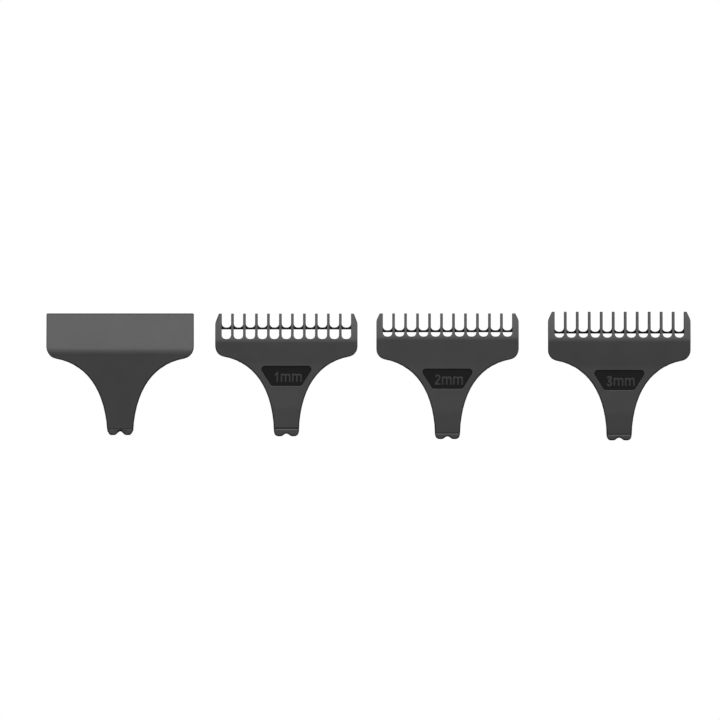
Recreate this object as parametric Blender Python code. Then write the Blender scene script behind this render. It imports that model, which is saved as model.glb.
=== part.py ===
"""Clip-on attachments of a hair clipper: one blade cover and three guide combs.

Each attachment is one plastic moulding. It lies face up on Z = 0, with its foot towards -Y
and its teeth towards +Y, in a row along X. All sizes below are in millimetres, measured in
each attachment's own frame: X from its centre line, Y from its foot, Z from the table.
A size called "back" is measured along Y from the pocket's end towards the foot.
"""
import math
from collections import namedtuple

import bmesh
import bpy
from mathutils import Matrix, Vector

MM = 0.001
ARC_STEP = math.radians(15.0)
BEYOND = 1.0            # how far a cutter runs past what it cuts

# The blade that all the attachments fit: its place is the same in each of them.
BLADE_WIDTH = 40.0
BLADE_TILT = math.radians(15.5)
POCKET_END = 35.4       # inner face of the nose, which the cutting edge stops short of
POCKET_ROOM = 2.53      # height for the blade between the lip and the front wall

# Shared by every attachment.
LIP_THICKNESS = 1.2
NECK_HALF_WIDTH = 3.73
NECK_THICKNESS = 1.8
HEAD_RELIEF = 0.3       # how much thinner the wall over the blade is than the neck
FOOT_HEIGHT = 3.15      # top of the neck where it meets the thumb lip
THUMB_LIP_DROP = 0.2    # how much lower the lip's end is than its start
FOOT_CORNER = 1.2
FOOT_NOTCH_WIDTH = 3.4
GROOVE_WIDTH = 0.4
GROOVE_DEPTH = 0.3
HOOK_START = 1.0
HOOK_WIDTH = 1.3
HOOK_DRAFT = 0.25
EDGE_ROUND = 0.5

# The combs.
COMB_PLAY = 0.2         # clearance at each end of the blade
COMB_SIDE = 1.3
TEETH = 12
TOOTH_WIDTH = 0.8
END_TOOTH_LEDGE = 0.67  # how much wider an end tooth is than the side wall behind it
SLOT_CORNER = 1.2
SLOT_CORNER_LIMIT = 0.45    # of the slot's width
SLOT_OVERLAP = 0.4      # how far the front and rear cutters of one gap run into each other
COMB_LIP_BACK = 3.1
LIP_SLOT_BACK = 2.5
COMB_CHEEK_BACK = 11.3
COMB_CAVITY_BACK = 12.9
COMB_SHOULDER_BACK = 10.9   # where the flare would run level
COMB_FLARE_FOOT = -2.55     # where the flare would run upright, from the foot
COMB_FLARE_REACH = 3.6      # how far past the side the flare's own centre lies
COMB_FLARE_POWER = 2.54
COMB_CORNER_INSET = 2.4
COMB_NOTCH_DEPTH = 0.75
CHAMFER_ROUND = 2.5
TOOTH_ROUND = 0.25

# The sunken size label of a comb, with raised characters.
LABEL_BACK = 14.2       # its top edge
LABEL_HEIGHT = 6.0
LABEL_BOTTOM_HALF = 4.5
LABEL_TOP_HALF = 8.3
LABEL_CORNER = 1.0
LABEL_DEPTH = 0.5
LABEL_DRAFT = 0.25
TEXT_SHIFT = 0.4
TEXT_RISE = 1.2         # baseline above the label's lower edge
TEXT_RAISE = 0.25
TEXT_ROOT = 0.2         # how far the characters reach into the label's floor
TEXT_GAP = 0.4
STROKE = 0.5
NUMERAL_HEIGHT = 3.1
NUMERAL_WIDTH = 1.75
LETTER_HEIGHT = 2.5
LETTER_WIDTH = 3.0

# The neck of a comb, seen from the side: height above the table half way up the neck, just
# under the label and just over it. The longer cuts carry more extra height to the head.
NECK_LOW_HEIGHT = 4.05
NECK_MIDDLE_HEIGHT = 4.55
NECK_HIGH_HEIGHT = 5.3
LABEL_MARGIN = 0.7      # flat face kept below and above the label
NECK_LIFT = 0.45
NECK_BEND = 20.0
RIDGE_BEND = 2.5

# The blade cover.
COVER_PLAY = 0.65
COVER_SIDE = 1.6
COVER_TIP_WALL = 1.4
COVER_TIP_HEIGHT = 4.5
COVER_BEND_BACK = 10.1
COVER_BEND_HEIGHT = 8.6
COVER_BEND_RADIUS = 4.0
COVER_LIP_BACK = 3.8
COVER_CHEEK_BACK = 12.1
COVER_CAVITY_BACK = 14.8
COVER_SHOULDER_BACK = 11.85
COVER_FLARE_FOOT = -6.0
COVER_FLARE_REACH = 4.0
COVER_FLARE_POWER = 2.66
COVER_CORNER_INSET = 2.75
COVER_GROOVE = 1.8
COVER_NOTCH_DEPTH = 1.1
COVER_TIP_ROUND = 0.4

# The row. A comb's nose is the tooth ahead of the pocket, and chamfer is how far the outer
# corner of its end teeth is cut back across and down. gap_before is the space to the
# neighbour on its left, and foot_rise how far its foot lies above the lowest one.
Comb = namedtuple("Comb", "name cut nose bend_back slot_back chamfer groove gap_before foot_rise")
COMBS = (
    Comb("comb_1mm", 1.0, 1.7, 6.6, 6.0, (1.1, 2.9), 2.3, 6.5, 1.25),
    Comb("comb_2mm", 2.0, 2.6, 5.0, 4.4, (1.0, 2.1), 1.8, 5.7, 0.4),
    Comb("comb_3mm", 3.0, 3.5, 5.1, 4.3, (1.15, 2.5), 1.8, 8.9, 0.0),
)
COVER_FOOT_RISE = 1.6

WALL = NECK_THICKNESS - HEAD_RELIEF
END_TOOTH_WIDTH = COMB_SIDE + END_TOOTH_LEDGE
COMB_HALF = BLADE_WIDTH / 2 + COMB_PLAY + COMB_SIDE
COVER_HALF = BLADE_WIDTH / 2 + COVER_PLAY + COVER_SIDE
COVER_LENGTH = POCKET_END + COVER_TIP_WALL
LABEL_TOP = POCKET_END - LABEL_BACK
LABEL_BOTTOM = LABEL_TOP - LABEL_HEIGHT
BEHIND_POCKET = LIP_THICKNESS + POCKET_ROOM / 2
TALLEST = max(comb.foot_rise + POCKET_END + comb.nose for comb in COMBS)

DARK_PLASTIC = (0.050, 0.051, 0.052)
MATTE = 0.55


# ---------------------------------------------------------------- outlines

def arc(centre, radius, start, end):
    """Points along an arc, from one angle to another in degrees."""
    turn = math.radians(end - start)
    steps = max(2, round(abs(turn) / ARC_STEP))
    angles = [math.radians(start) + turn * step / steps for step in range(steps + 1)]
    return [(centre[0] + radius * math.cos(a), centre[1] + radius * math.sin(a)) for a in angles]


def rounded(corners):
    """A closed outline through corners (across, up, radius), each rounded by its radius."""
    outline = []
    for index, (across, up, radius) in enumerate(corners):
        corner = Vector((across, up))
        if radius == 0:
            outline.append((across, up))
            continue
        back = (Vector(corners[index - 1][:2]) - corner).normalized()
        ahead = (Vector(corners[(index + 1) % len(corners)][:2]) - corner).normalized()
        half = back.angle(ahead) / 2
        centre = corner + (back + ahead).normalized() * radius / math.sin(half)
        reach = radius / math.tan(half)
        start = corner + back * reach - centre
        end = corner + ahead * reach - centre
        turn = math.atan2(start.cross(end), start.dot(end))
        steps = max(2, round(abs(turn) / ARC_STEP))
        for step in range(steps + 1):
            outline.append(tuple(centre + Matrix.Rotation(turn * step / steps, 2) @ start))
    return outline


def mirrored(right_side, top):
    """A closed outline from the points up its right side and its top corners (x, y, radius)."""
    half = [(x, y, 0) for x, y in right_side] + top
    return rounded(half + [(-x, y, radius) for x, y, radius in reversed(half) if x > 0])


def flare(half_width, shoulder, foot, reach, power, corner_inset, steps=14):
    """The neck's sweep out to the shoulder and its round corner, up the right side.

    The sweep is a quarter of a superellipse whose centre lies outside the side. The corner
    is the arc that leaves the sweep without a kink and runs out upright along the side.
    """
    centre = half_width + reach
    wide = centre - NECK_HALF_WIDTH
    tall = shoulder - foot
    first = math.asin(((FOOT_CORNER - foot) / tall) ** (power / 2))
    last = math.acos(((reach + corner_inset) / wide) ** (power / 2))
    points = []
    for step in range(steps + 1):
        angle = first + (last - first) * step / steps
        x = centre - wide * math.cos(angle) ** (2 / power)
        y = foot + tall * math.sin(angle) ** (2 / power)
        points.append((x, y))
    climb = (points[-1][1] - points[-2][1]) / (points[-1][0] - points[-2][0])
    meet = math.atan2(1, climb)
    radius = corner_inset / (1 - math.cos(meet))
    middle = (half_width - radius, points[-1][1] + radius * math.sin(meet))
    return points + arc(middle, radius, -math.degrees(meet), 0)[1:]


def foot_end(notch_depth):
    """The bottom edge of the foot, from the middle of its notch to its right corner."""
    half = FOOT_NOTCH_WIDTH / 2
    steps = 6
    notch = []
    for step in range(steps + 1):
        x = half * step / steps
        notch.append((x, notch_depth * (1 + math.cos(math.pi * x / half)) / 2))
    low_corner = arc((NECK_HALF_WIDTH - FOOT_CORNER, FOOT_CORNER), FOOT_CORNER, -90, 0)
    return notch + low_corner[:-1]


def inset_corners(corners, depth):
    """Corners (across, up, radius) of a convex outline moved in by a depth from each side."""
    moved = []
    for index, (across, up, radius) in enumerate(corners):
        corner = Vector((across, up))
        back = (Vector(corners[index - 1][:2]) - corner).normalized()
        ahead = (Vector(corners[(index + 1) % len(corners)][:2]) - corner).normalized()
        inward = (back + ahead).normalized() * depth / math.sin(back.angle(ahead) / 2)
        moved.append((across + inward.x, up + inward.y, radius - depth))
    return moved


# ---------------------------------------------------------------- solids

def solid(name, lower, upper):
    """A closed solid between two matching rings of points in space."""
    mesh = bmesh.new()
    bottom = [mesh.verts.new(Vector(point) * MM) for point in lower]
    top = [mesh.verts.new(Vector(point) * MM) for point in upper]
    mesh.faces.new(bottom)
    mesh.faces.new(top)
    for index in range(len(bottom)):
        after = (index + 1) % len(bottom)
        mesh.faces.new((bottom[index], bottom[after], top[after], top[index]))
    bmesh.ops.recalc_face_normals(mesh, faces=mesh.faces)
    data = bpy.data.meshes.new(name)
    mesh.to_mesh(data)
    mesh.free()
    made = bpy.data.objects.new(name, data)
    bpy.context.scene.collection.objects.link(made)
    return made


def across_x(name, profile, half_width):
    """A side profile (y, z) carried across the full width."""
    left = [(-half_width, y, z) for y, z in profile]
    right = [(half_width, y, z) for y, z in profile]
    return solid(name, left, right)


def up_z(name, outline, low, high):
    """A front outline (x, y) between two heights, each a function of y."""
    lower = [(x, y, low(y)) for x, y in outline]
    upper = [(x, y, high(y)) for x, y in outline]
    return solid(name, lower, upper)


def joined(name, pieces):
    """Separate solids as one object."""
    mesh = bmesh.new()
    for piece in pieces:
        mesh.from_mesh(piece.data)
        bpy.data.objects.remove(piece)
    data = bpy.data.meshes.new(name)
    mesh.to_mesh(data)
    mesh.free()
    made = bpy.data.objects.new(name, data)
    bpy.context.scene.collection.objects.link(made)
    return made


def shape(body, tool, operation):
    """Cut, trim or add to a body with a hidden tool that goes where the body goes."""
    tool.hide_render = True
    tool.display_type = "WIRE"
    tool.parent = body.parent
    step = body.modifiers.new(tool.name, "BOOLEAN")
    step.operation = operation
    step.solver = "EXACT"
    step.object = tool


def plastic(name):
    """The dark matte plastic of one moulding."""
    material = bpy.data.materials.new(name)
    material.use_nodes = True
    shader = material.node_tree.nodes["Principled BSDF"]
    shader.inputs["Base Color"].default_value = (*DARK_PLASTIC, 1.0)
    shader.inputs["Roughness"].default_value = MATTE
    shader.inputs["Metallic"].default_value = 0.0
    return material


def moulding(name, profile, half_width, x, y):
    """The blank of an attachment, on an empty that stands on the line along which it lifts."""
    place = bpy.data.objects.new(name + "_place", None)
    place.location = (x * MM, y * MM, 0)
    bpy.context.scene.collection.objects.link(place)
    body = across_x(name, profile, half_width + BEYOND)
    body.parent = place
    body.data.materials.append(plastic(name + "_plastic"))
    return body


# ---------------------------------------------------------------- side profiles

def blade_plane(y):
    """Height of the face that the blade lies against, under the teeth."""
    return LIP_THICKNESS + POCKET_ROOM + (POCKET_END - y) * math.tan(BLADE_TILT)


def line(start, end, y):
    """Height at y on the straight line through two points of a side profile."""
    return start[1] + (end[1] - start[1]) * (y - start[0]) / (end[0] - start[0])


def side_profile(groove, neck, ridge, ridge_bend, tip, cheek_start):
    """The closed side profile of a moulding, round from the foot's end over the top.

    neck holds the points (y, z) of the neck's upper face between the foot and the ridge.
    """
    foot = (groove, FOOT_HEIGHT)
    after_foot = (neck + [ridge])[0]
    groove_top = groove + GROOVE_WIDTH / 2
    top = [
        (0, FOOT_HEIGHT - THUMB_LIP_DROP, EDGE_ROUND),
        (groove - GROOVE_WIDTH / 2, FOOT_HEIGHT, 0),
        (groove, FOOT_HEIGHT - GROOVE_DEPTH, 0),
        (groove_top, line(foot, after_foot, groove_top), 0),
    ]
    top += [(y, z, NECK_BEND) for y, z in neck]
    top += [(*ridge, ridge_bend), (*tip, EDGE_ROUND), (tip[0], 0, EDGE_ROUND)]
    spine = [foot] + neck + [ridge]
    cheek_top = next((a, b) for a, b in zip(spine, spine[1:]) if b[0] > cheek_start)
    under_cheek = line(*cheek_top, cheek_start) - NECK_THICKNESS
    hook_end = HOOK_START + HOOK_WIDTH
    under_foot = FOOT_HEIGHT - NECK_THICKNESS
    under = [
        (cheek_start + under_cheek / 2, 0, EDGE_ROUND),
        (cheek_start, under_cheek, 0),
    ]
    under += [(y, z - NECK_THICKNESS, NECK_BEND) for y, z in reversed(neck)]
    under += [
        (hook_end + HOOK_DRAFT, line(foot, after_foot, hook_end + HOOK_DRAFT) - NECK_THICKNESS, 0),
        (hook_end, 0, 0),
        (HOOK_START, 0, 0),
        (HOOK_START - HOOK_DRAFT, under_foot, 0),
        (0, under_foot, EDGE_ROUND),
    ]
    return rounded(top + under)


def blade_pocket(name, half_width, ceiling, lip_start):
    """The hollow for the blade, open at the back below the lip.

    ceiling holds the points (y, z) of the hollow's upper face, from its start to its end.
    """
    profile = [(ceiling[0][0], -BEYOND, 0)]
    profile += [(y, z, 0) for y, z in ceiling]
    profile += [
        (POCKET_END, LIP_THICKNESS, EDGE_ROUND),
        (lip_start, LIP_THICKNESS, 0),
        (lip_start, -BEYOND, 0),
    ]
    return across_x(name, rounded(profile), half_width)


# ---------------------------------------------------------------- characters

def numeral_one():
    """A stem in the middle of the numeral's width, with a flag that falls to the left."""
    left = NUMERAL_WIDTH / 2
    right = left + STROKE
    top = NUMERAL_HEIGHT
    flag = left - STROKE
    return [(left, 0), (right, 0), (right, top), (left + STROKE / 3, top),
            (flag, top - 3 * STROKE / 2), (flag, top - 5 * STROKE / 2), (left, top - 2 * STROKE)]


def numeral_two():
    """A round bowl whose stroke falls to the left end of a straight foot."""
    bowl = NUMERAL_WIDTH / 2
    centre = (bowl, NUMERAL_HEIGHT - bowl)
    foot = [(0, 0), (NUMERAL_WIDTH, 0), (NUMERAL_WIDTH, STROKE), (3 * STROKE / 2, STROKE)]
    outside = arc(centre, bowl, -35, 165)
    inside = arc(centre, bowl - STROKE, 165, -35)
    return foot + outside + inside + [(0, STROKE)]


def numeral_three():
    """Two round bowls that share a short waist, the lower one a little larger."""
    lower = (NUMERAL_HEIGHT + STROKE / 2) / 4
    upper = lower - STROKE / 8
    low = (lower, lower)
    high = (lower, NUMERAL_HEIGHT - upper)
    bar = lower - STROKE / 2
    waist = [(bar, low[1] + lower - STROKE), (bar, high[1] - upper + STROKE)]
    outer = arc(high, upper, 165, -60) + arc(low, lower, 60, -165)
    return outer + arc(low, lower - STROKE, -165, 90) + waist + arc(high, upper - STROKE, -90, 165)


def letter_m():
    """Three stems under two round arches, with a nick over the middle stem."""
    gap = (LETTER_WIDTH - 3 * STROKE) / 2
    crown = LETTER_HEIGHT - STROKE - gap / 2
    outline = [(0, 0)]
    for start in (STROKE, 2 * STROKE + gap):
        outline.append((start, 0))
        outline += arc((start + gap / 2, crown), gap / 2, 180, 0)
        outline.append((start + gap, 0))
    outline.append((LETTER_WIDTH, 0))
    outline += arc((LETTER_WIDTH - STROKE, LETTER_HEIGHT - STROKE), STROKE, 0, 90)
    middle = LETTER_WIDTH / 2
    outline += [(middle + STROKE / 2, LETTER_HEIGHT), (middle, LETTER_HEIGHT - STROKE / 2),
                (middle - STROKE / 2, LETTER_HEIGHT), (0, LETTER_HEIGHT)]
    return outline


NUMERALS = {1: numeral_one, 2: numeral_two, 3: numeral_three}


def size_text(name, cut, floor):
    """The raised cut length, such as 1mm, on the label's floor, a function of y."""
    characters = ((NUMERALS[round(cut)](), NUMERAL_WIDTH), (letter_m(), LETTER_WIDTH),
                  (letter_m(), LETTER_WIDTH))
    left = TEXT_SHIFT - (sum(width for _, width in characters) + 2 * TEXT_GAP) / 2
    baseline = LABEL_BOTTOM + TEXT_RISE
    pieces = []
    for outline, width in characters:
        placed = [(left + x, baseline + y) for x, y in outline]
        pieces.append(up_z(name, placed, lambda y: floor(y) - TEXT_ROOT,
                           lambda y: floor(y) + TEXT_RAISE))
        left += width + TEXT_GAP
    return joined(name, pieces)


# ---------------------------------------------------------------- attachments

def slot(centre, width, end, top, low, high):
    """A cutter for one gap between teeth, from its rounded end out past the tip."""
    corner = min(SLOT_CORNER, SLOT_CORNER_LIMIT * width)
    corners = [(centre - width / 2, end, corner), (centre + width / 2, end, corner),
               (centre + width / 2, top, 0), (centre - width / 2, top, 0)]
    return up_z("gap", rounded(corners), lambda y: low, lambda y: high)


def gaps_between_teeth(comb):
    """Cutters for the gaps in the front wall and, shorter, in the lip behind it."""
    count = TEETH - 1
    width = (2 * COMB_HALF - 2 * END_TOOTH_WIDTH - (TEETH - 2) * TOOTH_WIDTH) / count
    front_end = POCKET_END - comb.slot_back
    lip_end = POCKET_END - LIP_SLOT_BACK
    top = POCKET_END + comb.nose + BEYOND
    roof = blade_plane(0) + comb.cut
    front, behind = [], []
    for index in range(count):
        centre = (index - (count - 1) / 2) * (width + TOOTH_WIDTH)
        front.append(slot(centre, width, front_end, top, BEHIND_POCKET - SLOT_OVERLAP, roof))
        behind.append(slot(centre, width, lip_end, top, -BEYOND, BEHIND_POCKET + SLOT_OVERLAP))
    return joined(comb.name + "_front_gaps", front), joined(comb.name + "_lip_gaps", behind)


def comb_outline(comb):
    """The front outline of a comb, with its end teeth chamfered outside."""
    side = flare(COMB_HALF, POCKET_END - COMB_SHOULDER_BACK, COMB_FLARE_FOOT, COMB_FLARE_REACH,
                 COMB_FLARE_POWER, COMB_CORNER_INSET)
    length = POCKET_END + comb.nose
    across, down = comb.chamfer
    top = [(COMB_HALF, length - down, CHAMFER_ROUND), (COMB_HALF - across, length, TOOTH_ROUND)]
    return mirrored(foot_end(COMB_NOTCH_DEPTH) + side, top)


def add_label(body, comb, below, above):
    """The sunken label on the flat face between two points (y, z), with its raised size."""
    def floor(y):
        return line(below, above, y) - LABEL_DEPTH

    label = [(-LABEL_BOTTOM_HALF, LABEL_BOTTOM, LABEL_CORNER),
             (LABEL_BOTTOM_HALF, LABEL_BOTTOM, LABEL_CORNER),
             (LABEL_TOP_HALF, LABEL_TOP, LABEL_CORNER),
             (-LABEL_TOP_HALF, LABEL_TOP, LABEL_CORNER)]
    small = rounded(inset_corners(label, LABEL_DRAFT))
    large = rounded(inset_corners(label, -LABEL_DRAFT))
    recess = solid(comb.name + "_label", [(x, y, floor(y)) for x, y in small],
                   [(x, y, floor(y) + 2 * LABEL_DEPTH) for x, y in large])
    shape(body, recess, "DIFFERENCE")
    shape(body, size_text(comb.name + "_size_text", comb.cut, floor), "UNION")


def build_comb(comb, x):
    """One guide comb: slotted front wall, slotted lip behind it, end cheeks, neck and hook."""
    lift = NECK_LIFT * (comb.cut - COMBS[0].cut)
    high = LABEL_TOP + LABEL_MARGIN
    middle = LABEL_BOTTOM - LABEL_MARGIN
    low = (comb.groove + middle) / 2
    heights = ((low, NECK_LOW_HEIGHT), (middle, NECK_MIDDLE_HEIGHT), (high, NECK_HIGH_HEIGHT))
    neck = [(y, z + lift * y / high) for y, z in heights]
    bend = POCKET_END - comb.bend_back
    length = POCKET_END + comb.nose
    over_blade = comb.cut / math.cos(BLADE_TILT)
    ridge = (bend, blade_plane(bend) + over_blade)
    tip = (length, blade_plane(length) + over_blade)
    cheek = POCKET_END - COMB_CHEEK_BACK
    profile = side_profile(comb.groove, neck, ridge, RIDGE_BEND, tip, cheek)
    body = moulding(comb.name, profile, COMB_HALF, x, comb.foot_rise - TALLEST / 2)

    outline = comb_outline(comb)
    roof = ridge[1] + BEYOND
    blank = up_z(comb.name + "_outline", outline, lambda y: -BEYOND, lambda y: roof)
    shape(body, blank, "INTERSECT")

    cavity = POCKET_END - COMB_CAVITY_BACK
    start = (cavity, line(neck[2], ridge, cavity) - WALL)
    slope = (ridge[1] - neck[2][1]) / (ridge[0] - neck[2][0])
    bend = start[0] + (blade_plane(start[0]) - start[1]) / (slope + math.tan(BLADE_TILT))
    ceiling = [start, (bend, blade_plane(bend)), (POCKET_END, blade_plane(POCKET_END))]
    pocket = blade_pocket(comb.name + "_pocket", COMB_HALF - COMB_SIDE, ceiling,
                          POCKET_END - COMB_LIP_BACK)
    shape(body, pocket, "DIFFERENCE")
    for gaps in gaps_between_teeth(comb):
        shape(body, gaps, "DIFFERENCE")
    add_label(body, comb, neck[1], neck[2])


def build_cover(x):
    """The blade cover: a closed cap over the blade, on the same neck and foot."""
    foot = (COVER_GROOVE, FOOT_HEIGHT)
    ridge = (POCKET_END - COVER_BEND_BACK, COVER_BEND_HEIGHT)
    tip = (COVER_LENGTH, COVER_TIP_HEIGHT)
    cheek = POCKET_END - COVER_CHEEK_BACK
    profile = side_profile(COVER_GROOVE, [], ridge, COVER_BEND_RADIUS, tip, cheek)
    body = moulding("blade_cover", profile, COVER_HALF, x, COVER_FOOT_RISE - TALLEST / 2)

    side = flare(COVER_HALF, POCKET_END - COVER_SHOULDER_BACK, COVER_FLARE_FOOT, COVER_FLARE_REACH,
                 COVER_FLARE_POWER, COVER_CORNER_INSET)
    top = [(COVER_HALF, COVER_LENGTH, COVER_TIP_ROUND)]
    outline = mirrored(foot_end(COVER_NOTCH_DEPTH) + side, top)
    roof = COVER_BEND_HEIGHT + BEYOND
    blank = up_z("blade_cover_outline", outline, lambda y: -BEYOND, lambda y: roof)
    shape(body, blank, "INTERSECT")

    cavity = POCKET_END - COVER_CAVITY_BACK
    ceiling = [(cavity, line(foot, ridge, cavity) - WALL),
               (ridge[0], ridge[1] - WALL),
               (POCKET_END, line(ridge, tip, POCKET_END) - WALL)]
    pocket = blade_pocket("blade_cover_pocket", COVER_HALF - COVER_SIDE, ceiling,
                          POCKET_END - COVER_LIP_BACK)
    shape(body, pocket, "DIFFERENCE")


def build():
    for old in list(bpy.data.objects):
        bpy.data.objects.remove(old)
    row = 2 * COVER_HALF + sum(comb.gap_before + 2 * COMB_HALF for comb in COMBS)
    x = COVER_HALF - row / 2
    build_cover(x)
    reach = COVER_HALF
    for comb in COMBS:
        x += reach + comb.gap_before + COMB_HALF
        reach = COMB_HALF
        build_comb(comb, x)


build()
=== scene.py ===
"""Looks of a hair clipper's clip-on attachments: one blade cover and three guide combs.

Each attachment is one moulding. Its fine mesh is a copy of its CAD solid with the edges
rounded as in a mould and a matte, finely textured plastic, and on the combs a polished
floor under the raised cut length. Sizes are in millimetres unless a name says otherwise.
"""
import math

import bmesh
import bpy
from mathutils import Matrix, Vector


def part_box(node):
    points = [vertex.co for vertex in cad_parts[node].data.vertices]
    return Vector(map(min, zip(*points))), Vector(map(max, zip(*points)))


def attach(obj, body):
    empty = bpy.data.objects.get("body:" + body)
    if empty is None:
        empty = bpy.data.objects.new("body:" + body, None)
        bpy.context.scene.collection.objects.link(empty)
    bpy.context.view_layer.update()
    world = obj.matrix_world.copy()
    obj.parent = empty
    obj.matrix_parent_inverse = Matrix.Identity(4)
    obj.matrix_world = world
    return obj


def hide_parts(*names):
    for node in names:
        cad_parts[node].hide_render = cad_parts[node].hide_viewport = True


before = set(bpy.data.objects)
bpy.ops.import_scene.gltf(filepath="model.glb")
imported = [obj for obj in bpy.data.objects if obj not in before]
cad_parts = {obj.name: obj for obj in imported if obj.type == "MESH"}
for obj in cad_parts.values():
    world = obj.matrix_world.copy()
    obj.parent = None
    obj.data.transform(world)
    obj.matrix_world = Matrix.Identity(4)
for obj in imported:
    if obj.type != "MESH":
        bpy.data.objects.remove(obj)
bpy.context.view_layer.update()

MM = 0.001
COVER = "blade_cover"
COMBS = ("comb_1mm", "comb_2mm", "comb_3mm")

# Cleaning of a CAD solid, whose flat faces arrive as triangles.
WELD = 0.001
FLAT = math.radians(0.5)
SHALLOW = math.radians(5.0)     # front faces that bend by less than this are joined
MANY_CORNERS = 30       # a face with more corners than this is cut into simpler ones
CUT_SNAP = 0.01         # corners this near to a cut count as on it

# Rounding of the moulded edges.
ARC_STEP = math.radians(7.5)
SHARP = math.radians(50.0)
SMOOTH = math.radians(35.0)
OUTER_ROUND = 0.3
TOOTH_ROUND = 0.15
ROUND_STEPS = 3

# Draft of the walls round the neck and the flare, which ends before the cheeks.
WALL_DRAFT = 0.22
DRAFT_END = 27.0
DRAFT_FADE = 5.0
UPRIGHT = 0.05          # an upright wall's normal rises by less than this
FRONT = 0.3             # a front face's normal rises by more than this
LEVEL = 0.9             # a nearly level face's normal rises by more than this
UNDERSIDE = -0.5        # an underside face's normal is below this
STEEPEST = 0.3          # a corner moves by at most the draft over this

# The blade's pocket, from a comb's centre line and its foot.
TEETH = 12
TOOTH_WIDTH = 0.8
END_TOOTH_WIDTH = 1.97
TOOTH_START = 29.1
# The lip's upper face lies under LIP_TOP; it is made near-black there as painted shade.
LIP_TOP = 2.0           # the lip's upper face lies under this height

# The sunken label of a comb and its raised cut length, from the same place.
LABEL_BOTTOM = 15.2
LABEL_TOP = 21.2
LABEL_BOTTOM_HALF = 4.5
LABEL_TOP_HALF = 8.3
LABEL_CORNER = 1.0
LABEL_DEPTH = 0.5
LABEL_DRAFT = math.radians(12.0)
LABEL_EDGE = 0.3        # every corner of the label lies inside its outline grown by this
RIM_ROUND = 0.18
FLOOR_ROUND = 0.1
FLOOR_MARGIN = 0.2      # plain strip of floor inside its round edge
TEXT_SHIFT = 0.4
TEXT_RISE = 1.2         # baseline above the label's lower edge
TEXT_RAISE = 0.25
TEXT_ROUND = 0.06
TEXT_GAP = 0.4
STROKE = 0.5
NUMERAL_HEIGHT = 3.1
NUMERAL_WIDTH = 1.75
LETTER_HEIGHT = 2.5
LETTER_WIDTH = 3.0
BOWL_OPENS = 165        # degrees round a numeral's bowl at which its stroke ends
BOWL_FALLS = -35        # and at which the 2's stroke leaves the bowl
WAIST = 60              # and at which the 3's bowls meet

# The second finish is a near-black glossy plastic: the label's polished floor and the underside, and
# painted shade on the lip's upper face inside the blade's pocket.
MATTE, POLISHED_AND_SHADE, SATIN = range(3)   # places of the finishes on a moulding
NOISE_RANGE = (0.3, 0.7)            # most of a noise texture's values lie in this range
MOTTLE_SIZE = 0.006     # metres, as are all the sizes from here on

# The studio: a table top, overhead light and a camera that looks straight down.
TABLE_SIZE = 60.0
TABLE_GAP = 0.0001
SKY = 0.55
SKY_LOW = 0.3           # heights on a unit sphere between which the sky brightens
SKY_HIGH = 0.9
SKY_DIM = 0.1           # brightness at the horizon, as a share
KEY_PLACE = (0, 0.8, 0.7)
KEY_SIZE = (1.2, 0.6)
KEY_POWER = 13.0
VIEW_CENTRE = (-0.00255, 0.00486)
VIEW_DISTANCE = 5.0
VIEW_PLANE = 0.004      # height at which the view is VIEW_WIDTH wide
VIEW_WIDTH = 0.2176
SENSOR = 36.0           # millimetres, as camera sensors are
CLIP_START = 0.01
CLIP_END = 20.0


# ---------------------------------------------------------------- outlines

def arc(centre, radius, start, end):
    """Points along an arc, from one angle to another in degrees."""
    turn = math.radians(end - start)
    steps = max(2, round(abs(turn) / ARC_STEP))
    angles = [math.radians(start) + turn * step / steps for step in range(steps + 1)]
    return [(centre[0] + radius * math.cos(a), centre[1] + radius * math.sin(a)) for a in angles]


def moved_in(outline, distance):
    """An anticlockwise outline moved in by a small distance, with its corners kept."""
    moved = []
    for index, point in enumerate(outline):
        point = Vector(point)
        back = (point - Vector(outline[index - 1])).normalized()
        ahead = (Vector(outline[(index + 1) % len(outline)]) - point).normalized()
        inward = (back + ahead).normalized().orthogonal()
        moved.append(point + inward * distance / inward.dot(back.orthogonal()))
    return moved


def label_outline():
    """The label's four-sided outline with round corners, and points at the middle of its
    lower and upper edges."""
    corners = [Vector(spot) for spot in ((-LABEL_BOTTOM_HALF, LABEL_BOTTOM),
                                         (LABEL_BOTTOM_HALF, LABEL_BOTTOM),
                                         (LABEL_TOP_HALF, LABEL_TOP),
                                         (-LABEL_TOP_HALF, LABEL_TOP))]
    outline = []
    for index, corner in enumerate(corners):
        back = (corners[index - 1] - corner).normalized()
        ahead = (corners[(index + 1) % 4] - corner).normalized()
        between = back.angle(ahead)
        centre = corner + (back + ahead).normalized() * LABEL_CORNER / math.sin(between / 2)
        first = math.degrees(math.atan2(-back.x, back.y)) - 180
        outline += arc(centre, LABEL_CORNER, first, first + 180 - math.degrees(between))
        if index % 2 == 0:
            outline.append((0, corner.y))
    return outline


def numeral_one():
    """A stem in the middle of the numeral's width, with a flag that falls to the left."""
    left = NUMERAL_WIDTH / 2
    right = left + STROKE
    top = NUMERAL_HEIGHT
    flag = left - STROKE
    return [(left, 0), (right, 0), (right, top), (left + STROKE / 3, top),
            (flag, top - 3 * STROKE / 2), (flag, top - 5 * STROKE / 2), (left, top - 2 * STROKE)]


def numeral_two():
    """A round bowl whose stroke falls to the left end of a straight foot."""
    bowl = NUMERAL_WIDTH / 2
    centre = (bowl, NUMERAL_HEIGHT - bowl)
    foot = [(0, 0), (NUMERAL_WIDTH, 0), (NUMERAL_WIDTH, STROKE), (3 * STROKE / 2, STROKE)]
    outside = arc(centre, bowl, BOWL_FALLS, BOWL_OPENS)
    inside = arc(centre, bowl - STROKE, BOWL_OPENS, BOWL_FALLS)
    return foot + outside + inside + [(0, STROKE)]


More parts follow.
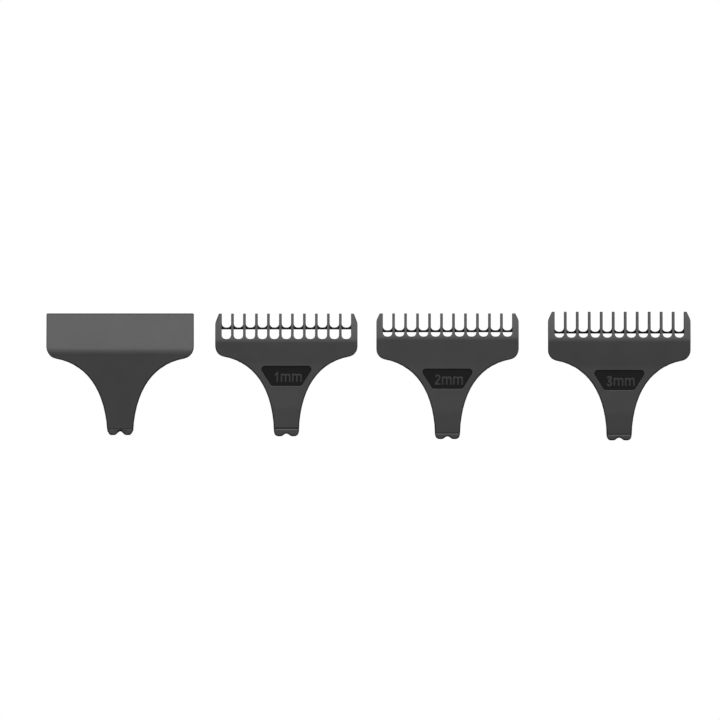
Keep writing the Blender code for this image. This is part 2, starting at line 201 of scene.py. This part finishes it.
def numeral_three():
    """Two round bowls that share a short waist, the lower one a little larger."""
    lower = (NUMERAL_HEIGHT + STROKE / 2) / 4
    upper = lower - STROKE / 8
    low = (lower, lower)
    high = (lower, NUMERAL_HEIGHT - upper)
    bar = lower - STROKE / 2
    waist = [(bar, low[1] + lower - STROKE), (bar, high[1] - upper + STROKE)]
    outer = arc(high, upper, BOWL_OPENS, -WAIST) + arc(low, lower, WAIST, -BOWL_OPENS)
    lower_inside = arc(low, lower - STROKE, -BOWL_OPENS, 90)
    upper_inside = arc(high, upper - STROKE, -90, BOWL_OPENS)
    return outer + lower_inside + waist + upper_inside


def letter_m():
    """Three stems under two round arches, with a nick over the middle stem."""
    gap = (LETTER_WIDTH - 3 * STROKE) / 2
    crown = LETTER_HEIGHT - STROKE - gap / 2
    outline = [(0, 0)]
    for start in (STROKE, 2 * STROKE + gap):
        outline.append((start, 0))
        outline += arc((start + gap / 2, crown), gap / 2, 180, 0)
        outline.append((start + gap, 0))
    outline.append((LETTER_WIDTH, 0))
    outline += arc((LETTER_WIDTH - STROKE, LETTER_HEIGHT - STROKE), STROKE, 0, 90)
    middle = LETTER_WIDTH / 2
    outline += [(middle + STROKE / 2, LETTER_HEIGHT), (middle, LETTER_HEIGHT - STROKE / 2),
                (middle - STROKE / 2, LETTER_HEIGHT), (0, LETTER_HEIGHT)]
    return outline


NUMERALS = (numeral_one, numeral_two, numeral_three)


# ---------------------------------------------------------------- mesh tools

def linked(name, data):
    """A new object in the scene with the given data."""
    made = bpy.data.objects.new(name, data)
    bpy.context.scene.collection.objects.link(made)
    return made


def placed(name, mesh, finishes):
    """An object made from a bmesh, which is freed, with its finishes as materials."""
    data = bpy.data.meshes.new(name)
    mesh.to_mesh(data)
    mesh.free()
    for finish in finishes:
        data.materials.append(finish)
    return linked(name, data)


def walled(mesh, rings):
    """Join matching rings of points, lowest first, by side faces. Returns the rings' corners."""
    levels = [[mesh.verts.new(point) for point in ring] for ring in rings]
    for low, high in zip(levels, levels[1:]):
        for index in range(len(low)):
            after = (index + 1) % len(low)
            mesh.faces.new((low[index], low[after], high[after], high[index]))
    return levels


def loop_edges(mesh, loop):
    """The edges along a closed loop of corners."""
    return [mesh.edges.get((loop[index - 1], loop[index])) for index in range(len(loop))]


def finished(thing):
    """The mesh of an object with its modifiers applied. The object is removed."""
    graph = bpy.context.evaluated_depsgraph_get()
    fine = bpy.data.meshes.new_from_object(thing.evaluated_get(graph))
    bpy.data.objects.remove(thing)
    return fine


# ---------------------------------------------------------------- mouldings

def in_label(point):
    """Whether a corner of a comb's CAD solid belongs to its sunken label."""
    up = (point.y - LABEL_BOTTOM) / (LABEL_TOP - LABEL_BOTTOM)
    half = LABEL_BOTTOM_HALF + (LABEL_TOP_HALF - LABEL_BOTTOM_HALF) * up
    return (abs(point.x) < half + LABEL_EDGE and point.z > LIP_TOP
            and LABEL_BOTTOM - LABEL_EDGE < point.y < LABEL_TOP + LABEL_EDGE)


def close_label(mesh):
    """Fill a comb's label level with the face round it, and return that level face's plane."""
    sunk = [face for face in mesh.faces if all(in_label(vert.co) for vert in face.verts)]
    bmesh.ops.delete(mesh, geom=sunk, context="FACES")
    rim = [edge for edge in mesh.edges if edge.is_boundary]
    lid = bmesh.ops.edgeloop_fill(mesh, edges=rim)["faces"][0]
    lid.normal_update()
    if lid.normal.z < 0:
        lid.normal_flip()
    return lid.calc_center_median(), lid.normal.copy()


def whole_faces(node):
    """A CAD solid's mesh in millimetres, from its centre line and foot, with flat faces whole.

    A comb's label is closed, and its plane (point, normal) is returned too.
    """
    low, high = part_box(node)
    mesh = bmesh.new()
    mesh.from_mesh(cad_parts[node].data)
    mesh.transform(Matrix.Scale(1 / MM, 4) @ Matrix.Translation((-(low.x + high.x) / 2, -low.y, 0)))
    bmesh.ops.remove_doubles(mesh, verts=mesh.verts, dist=WELD)
    plane = close_label(mesh) if node in COMBS else None
    bmesh.ops.dissolve_limit(mesh, angle_limit=FLAT, verts=mesh.verts, edges=mesh.edges)
    return mesh, plane


def cut_across(mesh, faces, places):
    """Cut faces along planes square to X, which leaves simpler faces without holes."""
    for place in places:
        parts = {part for face in faces for part in (face, *face.verts, *face.edges)}
        made = bmesh.ops.bisect_plane(mesh, geom=list(parts), dist=CUT_SNAP,
                                      plane_co=(place, 0, 0), plane_no=(1, 0, 0))
        faces = [part for part in made["geom"] if isinstance(part, bmesh.types.BMFace)]


def simplify_comb(mesh, width):
    """Cut a comb's many-cornered faces at the middle of its teeth and of its gaps."""
    pitch = (width - 2 * END_TOOTH_WIDTH + TOOTH_WIDTH) / (TEETH - 1)
    large = [face for face in mesh.faces if len(face.verts) > MANY_CORNERS]
    cut_across(mesh, large, [step * pitch / 2 for step in range(1 - TEETH, TEETH)])


def draft_walls(mesh):
    """Lean the neck's and the flare's walls in towards the front, as in a mould that opens."""
    moves = {}
    for vert in mesh.verts:
        walls = [face.normal.xy for face in vert.link_faces if abs(face.normal.z) < UPRIGHT]
        fronts = [face.normal for face in vert.link_faces if face.normal.z > FRONT]
        reach = min(1, (DRAFT_END - vert.co.y) / DRAFT_FADE)
        if not walls or not fronts or reach <= 0:
            continue
        outward = sum(walls, Vector((0, 0))).normalized()
        move = -outward * WALL_DRAFT * reach / max(outward.dot(walls[0]), STEEPEST)
        if len(fronts) > 1:
            move = Vector((math.copysign(move.length / max(abs(outward.x), STEEPEST), move.x), 0))
        moves[vert] = (*move, -move.dot(fronts[0].xy) / fronts[0].z)
    for vert, move in moves.items():
        vert.co += Vector(move)
    mesh.normal_update()


def edge_round(edge, teeth):
    """How far an edge is rounded, or 0 where it stays as it is."""
    if not edge.is_convex or edge.calc_face_angle() < SHARP:
        return 0
    middle = (edge.verts[0].co + edge.verts[1].co) / 2
    return TOOTH_ROUND if teeth and middle.y > TOOTH_START else OUTER_ROUND


def recess_section():
    """Insets and depths down the label's wall, with a round rim and a round edge at its floor."""
    steep = math.pi / 2 - LABEL_DRAFT
    turns = [steep * (step + 1) / ROUND_STEPS for step in range(ROUND_STEPS)]
    rim = [(RIM_ROUND * (math.sin(turn) - 1), RIM_ROUND * (1 - math.cos(turn))) for turn in turns]
    fillet_top = LABEL_DEPTH - FLOOR_ROUND * (1 - math.cos(steep))
    wall_end = rim[-1][0] + (fillet_top - rim[-1][1]) * math.tan(LABEL_DRAFT)
    fillet = [(wall_end + FLOOR_ROUND * (math.sin(steep) - math.sin(turn)),
               LABEL_DEPTH - FLOOR_ROUND * (1 - math.cos(turn)))
              for turn in [steep - turn for turn in [0, *turns]]]
    floor = (fillet[-1][0] + FLOOR_MARGIN, LABEL_DEPTH)
    return [(-RIM_ROUND, 0), *rim, *fillet, floor]


def character_section():
    """Insets and heights up a raised character's side, with a round upper edge."""
    turns = [math.pi / 2 * step / ROUND_STEPS for step in range(ROUND_STEPS + 1)]
    return [(0, 0)] + [(TEXT_ROUND * (1 - math.cos(turn)),
                        TEXT_RAISE - TEXT_ROUND * (1 - math.sin(turn))) for turn in turns]


def label_face(mesh, normal):
    """The one front face round the label, with corners at its middle. A shallow bend in it goes."""
    def parts():
        found = []
        for face in mesh.faces:
            ends = [vert.co.y for vert in face.verts]
            if (face.normal.dot(normal) > math.cos(SHALLOW) and min(ends) < LABEL_TOP + LABEL_EDGE
                    and max(ends) > LABEL_BOTTOM - LABEL_EDGE):
                found.append(face)
        return found

    cut_across(mesh, parts(), [0])
    return bmesh.ops.dissolve_faces(mesh, faces=parts())["region"][0]


def sink_walls(mesh, level):
    """Build the label's walls. Returns their rings of corners, from the floor up to the rim."""
    outline = label_outline()
    old = set(mesh.faces)
    rings = [[(x, y, level(y) - depth) for x, y in moved_in(outline, inset)]
             for inset, depth in reversed(recess_section())]
    corners = walled(mesh, rings)
    for wall in set(mesh.faces) - old:
        middle = wall.calc_center_median()
        wall.material_index = POLISHED_AND_SHADE if level(middle.y) - middle.z > LABEL_DEPTH / 2 else MATTE
    return corners


def open_front(mesh, face, rim):
    """Split the front face in two round the label's rim, and open it inside the rim."""
    net = loop_edges(mesh, rim)
    for side in (min, max):
        ends = [side((vert for vert in verts if abs(vert.co.x) < CUT_SNAP), key=lambda vert: vert.co.y)
                for verts in (rim, face.verts)]
        net.append(mesh.edges.new(ends))
    pieces = bmesh.utils.face_split_edgenet(face, net)
    inside = [piece for piece in pieces if set(piece.verts) == set(rim)]
    bmesh.ops.delete(mesh, geom=inside, context="FACES_ONLY")


def raise_characters(mesh, numeral, level):
    """Build the raised characters. Returns the loops of corners at their feet."""
    characters = ((numeral(), NUMERAL_WIDTH), (letter_m(), LETTER_WIDTH), (letter_m(), LETTER_WIDTH))
    left = TEXT_SHIFT - (sum(width for _, width in characters) + 2 * TEXT_GAP) / 2
    old = set(mesh.faces)
    feet = []
    for outline, width in characters:
        spots = [(left + x, LABEL_BOTTOM + TEXT_RISE + y) for x, y in outline]
        rings = [[(x, y, level(y) - LABEL_DEPTH + rise) for x, y in moved_in(spots, inset)]
                 for inset, rise in character_section()]
        corners = walled(mesh, rings)
        mesh.faces.new(corners[-1])
        feet.append(corners[0])
        left += width + TEXT_GAP
    for raised in set(mesh.faces) - old:
        raised.material_index = SATIN
    return feet


def fill_floor(mesh, loops):
    """Fill the label's polished floor between loops of corners."""
    edges = [edge for loop in loops for edge in loop_edges(mesh, loop)]
    floor = bmesh.ops.triangle_fill(mesh, use_beauty=True, edges=edges, normal=(0, 0, 1))
    for part in floor["geom"]:
        if isinstance(part, bmesh.types.BMFace):
            part.material_index = POLISHED_AND_SHADE


def sink_label(mesh, numeral, point, normal):
    """Sink the label with its raised characters into a comb's front face, whose plane is given."""
    def level(y):
        return point.z - (y - point.y) * normal.y / normal.z

    face = label_face(mesh, normal)
    corners = sink_walls(mesh, level)
    open_front(mesh, face, corners[-1])
    feet = raise_characters(mesh, numeral, level)
    fill_floor(mesh, [corners[0], *feet])
    bmesh.ops.recalc_face_normals(mesh, faces=mesh.faces)


def set_finishes(mesh):
    """Polish the underside. The lip's upper face gets the same near-black polished plastic as painted
    shade, for the shade inside the blade's pocket. The rest is matte.
    """
    for face in mesh.faces:
        # painted shade: the lip's upper face in the blade's pocket is made near-black
        painted_shade_on_lip = face.normal.z > LEVEL and face.calc_center_median().z < LIP_TOP
        face.material_index = POLISHED_AND_SHADE if painted_shade_on_lip or face.normal.z < UNDERSIDE else MATTE


def rounded(name, mesh, teeth, finishes):
    """The mesh data of a bmesh with its edges rounded. The bmesh is freed."""
    weight = mesh.edges.layers.float.new("bevel_weight_edge")
    for edge in mesh.edges:
        edge[weight] = edge_round(edge, teeth) / OUTER_ROUND
    rough = placed(name, mesh, finishes)
    bevel = rough.modifiers.new("rounding", "BEVEL")
    bevel.limit_method = "WEIGHT"
    bevel.width = OUTER_ROUND
    bevel.segments = ROUND_STEPS
    bevel.use_clamp_overlap = False
    return finished(rough)


def put_back(fine, low, high):
    """Move mesh data from millimetres to its node's place, and keep it within the node's box."""
    fine.transform(Matrix.Translation(((low.x + high.x) / 2, low.y, 0)) @ Matrix.Scale(MM, 4))
    for vert in fine.vertices:
        vert.co = [min(max(value, least), most) for value, least, most in zip(vert.co, low, high)]


def shade(fine):
    """Smooth shading between sharp edges, and flat shading on level polished faces."""
    fine.shade_smooth()
    fine.set_sharp_from_angle(angle=SMOOTH)
    for face in fine.polygons:
        face.use_smooth = face.material_index != POLISHED_AND_SHADE or face.normal.z < LEVEL


def moulding(node, finishes):
    """The fine piece that stands for an attachment's CAD node."""
    low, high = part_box(node)
    mesh, label_plane = whole_faces(node)
    draft_walls(mesh)
    if node in COMBS:
        simplify_comb(mesh, (high.x - low.x) / MM)
    set_finishes(mesh)
    fine = rounded(node + "_rough", mesh, node in COMBS, finishes)
    if node in COMBS:
        mesh = bmesh.new()
        mesh.from_mesh(fine)
        sink_label(mesh, NUMERALS[COMBS.index(node)], *label_plane)
        mesh.to_mesh(fine)
        mesh.free()
    put_back(fine, low, high)
    shade(fine)
    made = linked(node + "_moulding", fine)
    normals = made.modifiers.new("flat_faces", "WEIGHTED_NORMAL")
    normals.keep_sharp = True
    return made


# ---------------------------------------------------------------- materials

def noise(tree, spot, size, detail):
    """Noise whose features are about size metres across."""
    node = tree.nodes.new("ShaderNodeTexNoise")
    node.inputs["Scale"].default_value = 1 / size
    node.inputs["Detail"].default_value = detail
    tree.links.new(spot, node.inputs["Vector"])
    return node.outputs["Fac"]


def mapped(tree, value, start, end, low, high):
    """The node that spreads a value between start and end over low to high."""
    node = tree.nodes.new("ShaderNodeMapRange")
    for name, setting in (("From Min", start), ("From Max", end), ("To Min", low), ("To Max", high)):
        node.inputs[name].default_value = setting
    tree.links.new(value, node.inputs["Value"])
    return node


def spread(tree, value, low, high):
    """A noise value spread over low to high."""
    return mapped(tree, value, *NOISE_RANGE, low, high).outputs["Result"]


def bumped(tree, height, depth, under=None):
    """A normal bumped by a height of up to depth metres, over another bump."""
    node = tree.nodes.new("ShaderNodeBump")
    node.inputs["Distance"].default_value = depth
    tree.links.new(height, node.inputs["Height"])
    if under:
        tree.links.new(under, node.inputs["Normal"])
    return node.outputs["Normal"]


def plastic(name, dark, light, roughness, gloss, grain, wave):
    """Moulded plastic with mottled colour and roughness, each given as its range.

    grain and wave are the size and depth in metres of its fine and its broad unevenness.
    """
    material = bpy.data.materials.new(name)
    material.use_nodes = True
    tree = material.node_tree
    shader = tree.nodes["Principled BSDF"]
    spot = tree.nodes.new("ShaderNodeTexCoord").outputs["Object"]
    fine = noise(tree, spot, grain[0], detail=2)
    mottle = noise(tree, spot, MOTTLE_SIZE, detail=3)
    colour = tree.nodes.new("ShaderNodeMix")
    colour.data_type = "RGBA"
    colour.inputs["A"].default_value = (*dark, 1)
    colour.inputs["B"].default_value = (*light, 1)
    tree.links.new(spread(tree, mottle, 0, 1), colour.inputs["Factor"])
    tree.links.new(colour.outputs["Result"], shader.inputs["Base Color"])
    tree.links.new(spread(tree, fine, *roughness), shader.inputs["Roughness"])
    broad = bumped(tree, noise(tree, spot, wave[0], detail=1), wave[1])
    tree.links.new(bumped(tree, fine, grain[1], broad), shader.inputs["Normal"])
    shader.inputs["Specular IOR Level"].default_value = gloss
    return material


# ---------------------------------------------------------------- studio

def white_table():
    """A table top that glows plain white, so that nothing casts a shadow on it."""
    bpy.ops.mesh.primitive_plane_add(size=TABLE_SIZE, location=(0, 0, -TABLE_GAP))
    table = bpy.context.object
    table.name = "table"
    table.visible_glossy = False
    table.visible_diffuse = False
    paper = bpy.data.materials.new("white_table")
    paper.use_nodes = True
    shader = paper.node_tree.nodes["Principled BSDF"]
    shader.inputs["Base Color"].default_value = (0, 0, 0, 1)
    shader.inputs["Specular IOR Level"].default_value = 0
    shader.inputs["Emission Color"].default_value = (1, 1, 1, 1)
    shader.inputs["Emission Strength"].default_value = 1
    table.data.materials.append(paper)


def graded_sky():
    """Soft light from overhead that fades towards the horizon, and white behind the table."""
    world = bpy.data.worlds.new("studio")
    bpy.context.scene.world = world
    world.use_nodes = True
    tree = world.node_tree
    sky = tree.nodes["Background"]
    sky.inputs["Strength"].default_value = SKY
    parts = tree.nodes.new("ShaderNodeSeparateXYZ")
    tree.links.new(tree.nodes.new("ShaderNodeTexCoord").outputs["Generated"], parts.inputs[0])
    ramp = mapped(tree, parts.outputs["Z"], SKY_LOW, SKY_HIGH, SKY_DIM, 1)
    ramp.interpolation_type = "SMOOTHSTEP"
    tree.links.new(ramp.outputs["Result"], sky.inputs["Color"])
    behind = tree.nodes.new("ShaderNodeBackground")
    behind.inputs["Color"].default_value = (1, 1, 1, 1)
    choice = tree.nodes.new("ShaderNodeMixShader")
    tree.links.new(tree.nodes.new("ShaderNodeLightPath").outputs["Is Camera Ray"], choice.inputs["Fac"])
    tree.links.new(sky.outputs["Background"], choice.inputs[1])
    tree.links.new(behind.outputs["Background"], choice.inputs[2])
    tree.links.new(choice.outputs["Shader"], tree.nodes["World Output"].inputs["Surface"])


def softbox(name, place, size, power):
    """A rectangular light that points at the middle of the table."""
    light = bpy.data.lights.new(name, "AREA")
    light.shape = "RECTANGLE"
    light.size, light.size_y = size
    light.energy = power
    made = linked(name, light)
    made.location = place
    made.rotation_euler = (-Vector(place)).to_track_quat("-Z", "Y").to_euler()
    made.visible_camera = False


def overhead_camera():
    """A camera high above the row, which looks straight down."""
    camera = linked("camera", bpy.data.cameras.new("camera"))
    camera.location = (*VIEW_CENTRE, VIEW_DISTANCE)
    camera.data.sensor_width = SENSOR
    camera.data.lens = SENSOR * (VIEW_DISTANCE - VIEW_PLANE) / VIEW_WIDTH
    camera.data.clip_start = CLIP_START
    camera.data.clip_end = CLIP_END
    bpy.context.scene.camera = camera


# ---------------------------------------------------------------- build

matte = plastic("matte_plastic", dark=(0.0365, 0.0367, 0.037), light=(0.0415, 0.0418, 0.0421),
                roughness=(0.5, 0.6), gloss=0.5, grain=(0.00016, 0.000008), wave=(0.0009, 0.000006))
# Near-black glossy plastic for the label floor, the label's lower walls and the underside; on the lip's
# upper face it is painted shade.
polished_and_shade = plastic("polished_and_shade_plastic", dark=(0.0028, 0.0029, 0.0028), light=(0.0036, 0.0037, 0.0036),
                   roughness=(0.12, 0.2), gloss=0.25, grain=(0.0003, 0.000001), wave=(0.0016, 0.000006))
satin = plastic("satin_plastic", dark=(0.026, 0.0262, 0.0264), light=(0.029, 0.0292, 0.0294),
                roughness=(0.42, 0.52), gloss=0.45, grain=(0.00016, 0.000004), wave=(0.0009, 0.000003))
for node in (COVER, *COMBS):
    piece = moulding(node, (matte, polished_and_shade, satin))
    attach(piece, node)
    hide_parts(node)

white_table()
graded_sky()
softbox("key", KEY_PLACE, KEY_SIZE, KEY_POWER)
overhead_camera()
bpy.context.scene.view_settings.view_transform = "Standard"
